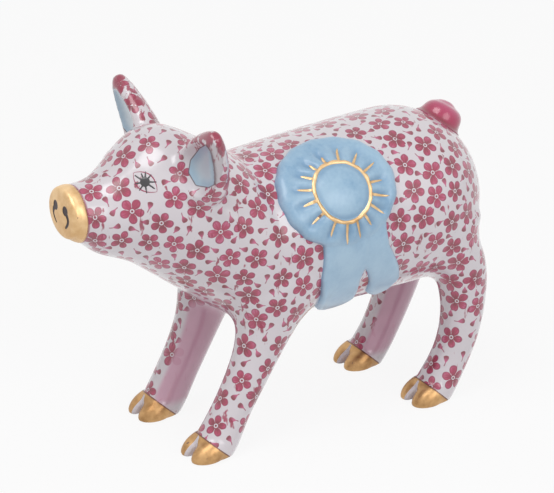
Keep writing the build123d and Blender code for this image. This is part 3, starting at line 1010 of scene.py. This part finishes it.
def curl_field(grid, low, high):
    """The tail wound up from its outer turn to its raised tip, as a row of balls."""
    lean = math.radians(TAIL_LEAN)
    across = np.array((0, math.cos(lean), -math.sin(lean)))
    axis = np.array((0, math.sin(lean), math.cos(lean)))
    aside = np.cross(axis, across)
    middle = (low + high) / 2
    middle[1] += TAIL_BACK * MM
    middle[2] = high[2] - TAIL_TOP * MM
    x, y, z = grid.places()
    best = np.full(grid.shape, BAND * grid.voxel)
    for share in np.linspace(0, 1, TAIL_STEPS):
        turn = math.radians(TAIL_START + TAIL_TURN * share)
        reach = TAIL_REACH * (1 - share ** 3) * MM
        spot = middle + reach * (math.cos(turn) * across + math.sin(turn) * aside)
        spot = spot + axis * TAIL_CLIMB * share * MM
        ball = np.sqrt((x - spot[0]) ** 2 + (y - spot[1]) ** 2 + (z - spot[2]) ** 2)
        best = np.minimum(best, ball - (TAIL_THICK + (TAIL_TIP - TAIL_THICK) * share) * MM)
    return best


def tail_piece():
    low, high = box_of("tail_curl")
    grid = Grid(low - TAIL_ROOM, high + TAIL_ROOM, TAIL_VOXEL)
    curl = curl_field(grid, low, high)
    rump = over_skin(grid.spots()).reshape(grid.shape)
    form = grid.blurred(joined(rump, curl, TAIL_FILLET), TAIL_BLUR)
    form = np.maximum(np.maximum(form, -(rump + SINK * MM)), curl - TAIL_FOOT)
    piece = grid.surface("tail_roll", form)
    store(piece.data, "rise", over_skin(points_of(piece.data)) / MM)
    return piece


finish_piece(tail_piece(), tail_material(), "raspberry_enamel", "tail_curl")

# Rosette and ribbon tails: a relief on the flank

tilt = math.radians(AXIS_TILT)
AXIS_START = np.array((0, AXIS_Y, AXIS_Z)) * MM
AXIS_ALONG = np.array((0, math.cos(tilt), math.sin(tilt)))
AXIS_UP = np.array((0, -math.sin(tilt), math.cos(tilt)))


def unrolled(points):
    """Places on the flank as millimetres along and round the body from the rosette's middle."""
    away = points - AXIS_START
    along = away @ AXIS_ALONG
    angle = np.arctan2(away @ AXIS_UP, away[:, 0])
    s = (AXIS_START[1] + along * AXIS_ALONG[1]) / MM - ROSETTE_Y
    t = (angle - math.radians(ROSETTE_ANGLE)) * ROSETTE_UNROLL
    return s, t


def rolled(s, t, height):
    """The other way: points that stand a height over the skin, all in millimetres."""
    s, t, height = np.broadcast_arrays(s, t, height)
    along = ((s + ROSETTE_Y) * MM - AXIS_START[1]) / AXIS_ALONG[1]
    angle = t / ROSETTE_UNROLL + math.radians(ROSETTE_ANGLE)
    out = np.cos(angle)[:, None] * (1, 0, 0) + np.sin(angle)[:, None] * AXIS_UP
    points = AXIS_START + along[:, None] * AXIS_ALONG + out * ROLL_START
    for _ in range(4):
        points = points - out * (over_skin(points) - height * MM)[:, None]
    return points


def polar(s, t, middle):
    """Distance and direction of places from a middle."""
    return np.hypot(s - middle[0], t - middle[1]), np.arctan2(t - middle[1], s - middle[0])


def rim_profile(inward, width):
    """Rounded shoulder: 0 at the outline, 1 a width inside it, steeply down outside it."""
    x = np.clip(inward / width, -1, 1)
    return np.where(x > 0, np.sqrt(np.clip(1 - (1 - x) ** 2, 0, 1)), 3 * x)


def fold_share(s, t):
    """1 in the valley behind each gold ray, 0 between them."""
    turn = np.degrees(polar(s, t, RING_MIDDLE)[1])
    share = np.zeros(np.shape(s))
    for direction, _ in RAYS:
        away = (turn - direction + 180) % 360 - 180
        share = np.maximum(share, np.exp(-(away / FOLD_WIDTH) ** 2))
    return share


def rosette_height(s, t):
    """Height of the rosette and its button over the skin, in millimetres."""
    out, turn = polar(s, t, ROSETTE_MIDDLE)
    outline = ROSETTE_RADIUS + LOBE_HEIGHT * np.cos(LOBES * turn) + UNEVEN * np.cos(3 * turn + 1.0)
    from_ring, _ = polar(s, t, RING_MIDDLE)
    folds = fold_share(s, t) * smooth(from_ring, *FOLD_OUTER) * smooth(from_ring, *FOLD_INNER)
    inner = np.clip(1 - (from_ring / (RING_RADIUS - BUTTON_EDGE)) ** 2, 0, 1)
    height = ROSETTE_HEIGHT + RING_RISE * smooth(from_ring, *CLIMB) - FOLD_DEPTH * folds
    height = height - BUTTON_SINK * smooth(from_ring, RING_RADIUS, RING_RADIUS - 0.5)
    return (height + BUTTON_DOME * inner ** 0.75) * rim_profile(outline - out, ROSETTE_RIM)


def relief_height(s, t):
    """Height of rosette and ribbon tails over the skin, in millimetres."""
    height = rosette_height(s, t)
    for ribbon in (FRONT_RIBBON, REAR_RIBBON):
        band = RIBBON_HEIGHT * rim_profile(polygon_distance(ribbon, s, t) + RIBBON_ROUND, RIBBON_RIM)
        soft = np.maximum(RIBBON_FILLET - np.abs(height - band), 0) / RIBBON_FILLET
        height = np.maximum(height, band)
        height = height + soft * soft * RIBBON_FILLET / 4 * (height > -0.3)
    return height


def relief_piece():
    """The blue relief as one closed piece that sits a little into the skin."""
    low = np.min([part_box(n)[0] for n in RELIEF_NODES], axis=0) - 2 * MM
    high = np.max([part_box(n)[1] for n in RELIEF_NODES], axis=0) + 1 * MM
    grid = Grid(low, high, RELIEF_VOXEL)
    spots = grid.spots()
    cell = np.clip((spots / body_grid.voxel - body_grid.low).astype(int), 0, body_grid.shape - 1)
    rough = skin[cell[:, 0], cell[:, 1], cell[:, 2]] / MM
    near = (rough > RELIEF_REACH[0]) & (rough < RELIEF_REACH[1])
    above = over_skin(spots[near]) / MM
    form = np.full(len(spots), BAND * RELIEF_VOXEL)
    form[near] = np.maximum(above - relief_height(*unrolled(spots[near])), -(above + SINK)) * MM
    form = grid.blurred(form.reshape(grid.shape).astype(np.float32), RELIEF_BLUR)
    piece = grid.surface("rosette_relief", form)
    store(piece.data, "painted_shade", shade_and_tails(points_of(piece.data)))
    return piece


def shade_and_tails(points):
    """How much shade is painted in the folds, in the groove inside the ring and at the foot, and what belongs
    to the ribbon tails.
    """
    s, t = unrolled(points)
    from_ring, _ = polar(s, t, RING_MIDDLE)
    # Painted shade in the valleys behind the rays.
    painted_shade = fold_share(s, t) * smooth(from_ring, *FOLD_SHADE_OUTER) * smooth(from_ring, *FOLD_SHADE_INNER)
    # Painted shade in the groove just inside the gold ring.
    painted_shade = np.maximum(painted_shade, 0.6 * smooth(np.abs(from_ring - RING_RADIUS + 0.5), 0.9, 0.0))
    # Painted shade at the foot, where the relief meets the flank.
    foot = smooth(over_skin(points) / MM, 0.55, 0.0)
    return np.stack([painted_shade, foot, smooth(t, -8.0, -14.0)], axis=1)


finish_piece(relief_piece(), blue_material(), "blue_enamel", *RELIEF_NODES)

# Brush strokes: thin raised lines of gold or enamel

def stroke_mesh(path, widths, thick, place, closed=False, around=6, sink=0.12):
    """Points and faces of one stroke, laid along a flat path in millimetres."""
    heading = np.roll(path, -1, axis=0) - np.roll(path, 1, axis=0) if closed else np.gradient(path, axis=0)
    heading = unit(heading)
    aside = np.stack([-heading[:, 1], heading[:, 0]], axis=1)
    slim = np.minimum(1, widths / widths.max() + 0.3)
    ring = []
    for turn in np.linspace(0, math.pi, around):
        at_edge = math.sin(turn) < 1e-6
        lift = thick * math.sin(turn) * slim - sink * at_edge
        spot = path + aside * (math.cos(turn) * widths / 2)[:, None]
        ring.append(place(spot[:, 0], spot[:, 1], lift))
    return np.stack(ring, axis=1).reshape(-1, 3), tube_faces(len(path), around, closed)


def rays_of(middle, reach, turn):
    """Flat path of a ray: its places at some distances and directions from a middle."""
    return np.stack([middle[0] + reach * np.cos(turn), middle[1] + reach * np.sin(turn)], axis=1)


def on_relief(s, t, lift):
    """Points a little sunk into the relief, and lifted from there."""
    return rolled(s, t, np.maximum(relief_height(s, t), 0) - 0.03 + lift)


def gold_lines():
    """The gold ring round the button and its rays."""
    chance = random.Random(SEED)
    turns = np.linspace(0, 2 * math.pi, 120, endpoint=False)
    wobble = 0.05 * np.sin(3 * turns + 0.4) + 0.03 * np.sin(7 * turns)
    ring = rays_of(RING_MIDDLE, RING_RADIUS + wobble, turns)
    ring[:, 1] += RING_OVAL * np.sin(turns)
    widths = RING_WIDTH + 0.07 * np.sin(5 * turns + 1) + 0.05 * np.sin(11 * turns)
    strokes = [stroke_mesh(ring, widths, RING_THICK, on_relief, closed=True)]
    share = np.linspace(0, 1, 14)
    for direction, length in RAYS:
        bend = math.radians(direction) + math.radians(chance.uniform(-RAY_SWAY, RAY_SWAY)) * share ** 2
        path = rays_of(RING_MIDDLE, RING_RADIUS + 0.1 + share * length, bend)
        width = chance.uniform(*RAY_WIDTHS) * (1 - 0.45 * share) * np.minimum(1, (1 - share) * 5 + 0.12)
        strokes.append(stroke_mesh(path, width, RAY_THICK, on_relief))
    return merged_piece("rosette_gold_lines", strokes)


finish_piece(gold_lines(), gold_material(), "gilding", "rosette_ring")

# Snout: a gilt pad with two painted, lightly pressed nostrils

def nostril_distance(x, z):
    """Distance in millimetres to the painted commas, negative inside."""
    best = np.full(np.shape(x), UNPAINTED)
    for side in (1, -1):
        best = np.minimum(best, np.hypot(x - side * NOSTRIL_END_X, z - NOSTRIL_TOP) - NOSTRIL_HEAD)
        for share in np.linspace(0, 1, 25):
            level = NOSTRIL_TOP + share * (NOSTRIL_BOTTOM - NOSTRIL_TOP)
            bow = side * (NOSTRIL_END_X + NOSTRIL_BOW * math.sin(math.pi * share))
            radius = NOSTRIL_LINE * (1 - 0.55 * share)
            best = np.minimum(best, np.hypot(x - bow, z - level) - radius)
    return best


def snout_rings(half, thick):
    """Half width, half height and depth of the rings from the pad's face to its gilding's end."""
    inner_x, inner_z = half[0] - SNOUT_EDGE, half[2] - SNOUT_EDGE
    shares = np.linspace(0.02, 1, 46)
    rings = [(share * inner_x, share * inner_z, SNOUT_DOME * share ** 2) for share in shares]
    for angle in np.radians(np.linspace(10, 90, 9)):
        grow = SNOUT_EDGE * math.sin(angle)
        rings.append((inner_x + grow, inner_z + grow, SNOUT_DOME + SNOUT_EDGE * (1 - math.cos(angle))))
    backs = [thick * 0.9] + [thick + back * MM for back in GILT_BAND + GILT_BAND[-1:]]
    return rings + [(half[0], half[2], back) for back in backs]


def settled_round(spots, level):
    """Points moved onto a level of the skin without moving along the body."""
    for _ in range(4):
        moved = body_grid.settled(skin, spots, level)
        moved[:, 1] = spots[:, 1]
        spots = moved
    return spots


def draw_in_side(rings, middle):
    """Draws the rings behind the pad in to where its gilding ends on the skin, and sinks the last."""
    rim, end = rings[-len(GILT_BAND) - 3], rings[-2]
    end[:] = settled_round(end, GILT_EDGE)
    for ring in rings[-len(GILT_BAND) - 2:-2]:
        share = ((ring[:, 1] - rim[:, 1]) / (end[:, 1] - rim[:, 1]))[:, None]
        side = rim + share * (end - rim) + SIDE_BOW * share * (1 - share) * (rim - middle)
        side[:, 1] = ring[:, 1]
        covered = (over_skin(side) < GILT_EDGE)[:, None]
        ring[:] = np.where(covered, settled_round(side, GILT_EDGE), side)
    rings[-1] = settled_round(end, -SNOUT_SINK)


def snout_piece():
    """The gilt pad with its side, as one closed form."""
    low, high = box_of("snout_pad")
    middle, half = (low + high) / 2, (high - low) / 2
    turns = np.linspace(0, 2 * math.pi, SNOUT_AROUND, endpoint=False)
    rings = np.array([
        np.stack([
            middle[0] + width * np.cos(turns),
            np.full(SNOUT_AROUND, low[1] + back),
            middle[2] + height * np.sin(turns),
        ], axis=1)
        for width, height, back in snout_rings(half, high[1] - low[1])
    ])
    draw_in_side(rings, middle)
    points = rings.reshape(-1, 3)
    marks = nostril_distance((points[:, 0] - middle[0]) / MM, (points[:, 2] - middle[2]) / MM)
    on_face = points[:, 1] < low[1] + SNOUT_DOME + PAD_FRONT
    points[:, 1] += on_face * smooth(marks, NOSTRIL_SOFT, -NOSTRIL_SOFT) * NOSTRIL_PRESS
    piece = merged_piece("snout_gilt", [(points, tube_faces(len(rings), SNOUT_AROUND))])
    store(piece.data, "nostril", np.where(points[:, 1] < low[1] + PAINT_FRONT, marks, UNPAINTED))
    return piece


finish_piece(snout_piece(), gold_material("snout_gilding", marked=nostril_marks), "gilding", "snout_pad")

# Eyes: an almond outline round a black star

def eye_frame(sign):
    """Middle of an eye on the skin, and unit vectors along it and over it."""
    start = np.array([[sign * EYE_PLACE[0], *EYE_PLACE[1:]]]) * MM
    middle = body_grid.settled(skin, start, steps=6)
    out = body_grid.slope(skin, middle)[0]
    back = np.array((0.0, 1.0, 0.0))
    back = unit(back - out * (back @ out))
    up = np.cross(back, out)
    up = up * np.sign(up[2])
    slant = math.radians(EYE_SLANT)
    along = back * math.cos(slant) + up * math.sin(slant)
    over = up * math.cos(slant) - back * math.sin(slant)
    return middle[0], along, over


def eye_strokes(sign):
    """Strokes of one eye's outline and of its star."""
    middle, along, over = eye_frame(sign)

    def place(u, v, lift):
        spots = middle + u[:, None] * MM * along + v[:, None] * MM * over
        spots = body_grid.settled(skin, spots, steps=4)
        return spots + body_grid.slope(skin, spots) * (np.broadcast_to(lift, u.shape)[:, None] * MM)

    across = np.linspace(-1, 1, 26) * EYE_HALF_LENGTH
    arch = np.sin(math.pi * np.linspace(0, 1, 26))
    outline = []
    for lid in (EYE_HALF_HEIGHT, -EYE_HALF_HEIGHT):
        path = np.stack([across, lid * arch ** 0.8], axis=1)
        widths = EYE_LINE * (0.35 + arch * 0.65)
        outline.append(stroke_mesh(path, widths, EYE_LINE_THICK, place, sink=EYE_SINK))
    star = []
    for direction, length in EYE_RAYS:
        path = rays_of((0, 0), np.linspace(LASH_START, length, 10), math.radians(direction))
        widths = LASH_WIDTH * np.linspace(1.0, 0.60, 10)
        star.append(stroke_mesh(path, widths, LASH_THICK, place, sink=EYE_SINK))
    across = np.linspace(-0.99, 0.99, 16) * PUPIL_RADIUS
    path = np.stack([across, 0 * across], axis=1)
    widths = 2 * np.sqrt(PUPIL_RADIUS ** 2 - across ** 2)
    star.append(stroke_mesh(path, widths, PUPIL_THICK, place, around=10, sink=EYE_SINK))
    return outline, star


black = enamel_material("black_enamel", BLACK)
line_colour = enamel_material("raspberry_line", RASPBERRY_LINE)
for side, sign in SIDES.items():
    outline, star = eye_strokes(sign)
    finish_piece(merged_piece(f"eye_outline_{side}", outline), line_colour, "raspberry_enamel")
    finish_piece(merged_piece(f"eye_star_{side}", star), black, None)

# Camera, floor and light

def aimed(name, data, place):
    """Puts a camera or a lamp in the scene, turned to the middle of the object."""
    thing = linked(name, data)
    thing.location = place
    thing.rotation_euler = (thing.location - VIEW_TARGET).to_track_quat("Z", "Y").to_euler()
    return thing


def camera():
    """Camera that looks at the object as the photograph does."""
    azimuth, elevation = math.radians(VIEW_AZIMUTH), math.radians(VIEW_ELEVATION)
    level = math.cos(elevation)
    away = Vector((level * math.sin(azimuth), -level * math.cos(azimuth), math.sin(elevation)))
    data = bpy.data.cameras.new("camera")
    data.lens = LENS
    data.sensor_width = SENSOR
    data.clip_start = CLIP_START
    bpy.context.scene.camera = aimed("camera", data, VIEW_TARGET + away * VIEW_DISTANCE)


def lamp(name, place, width, power):
    """Square soft box."""
    data = bpy.data.lights.new(name, "AREA")
    data.size = width
    data.energy = power
    aimed(name, data, place)


def white_when_seen(nodes, plain, bright, share=1.0):
    """Shader that is bright to camera, glossy and transmission rays, and plain to others."""
    path = nodes.node("LightPath").outputs
    seen = nodes.math("MAXIMUM", path["Is Camera Ray"], path["Is Glossy Ray"])
    seen = nodes.math("MAXIMUM", seen, path["Is Transmission Ray"])
    mix = nodes.node("MixShader", Fac=seen * share)
    nodes.put(mix.inputs[1], plain.outputs[0])
    nodes.put(mix.inputs[2], bright.outputs[0])
    return mix.outputs[0]


def floor():
    """Plain pale floor that keeps the object's shadow."""
    corners = [(x * FLOOR_REACH, y * FLOOR_REACH, 0) for x, y in ((-1, -1), (1, -1), (1, 1), (-1, 1))]
    ground = mesh_piece("floor", corners, [(0, 1, 2, 3)])
    material = bpy.data.materials.new("floor")
    material.use_nodes = True
    nodes = Nodes(material.node_tree)
    nodes.tree.nodes.clear()
    plain, light = nodes.node("BsdfDiffuse", Color=FLOOR_COLOUR), nodes.node("Emission", Color=WHITE)
    nodes.node("OutputMaterial", Surface=white_when_seen(nodes, plain, light, FLOOR_WHITE_SHARE))
    ground.data.materials.append(material)


def surround():
    """Even light from all round, white where it is seen."""
    world = bpy.data.worlds.new("surround")
    bpy.context.scene.world = world
    world.use_nodes = True
    nodes = Nodes(world.node_tree)
    nodes.tree.nodes.clear()
    plain = nodes.node("Background", Color=WHITE, Strength=SURROUND)
    nodes.node("OutputWorld", Surface=white_when_seen(nodes, plain, nodes.node("Background", Color=WHITE)))


camera()
floor()
surround()
lamp("key", *KEY_LAMP)
lamp("fill", *FILL_LAMP)
bpy.context.scene.view_settings.view_transform = "Standard"
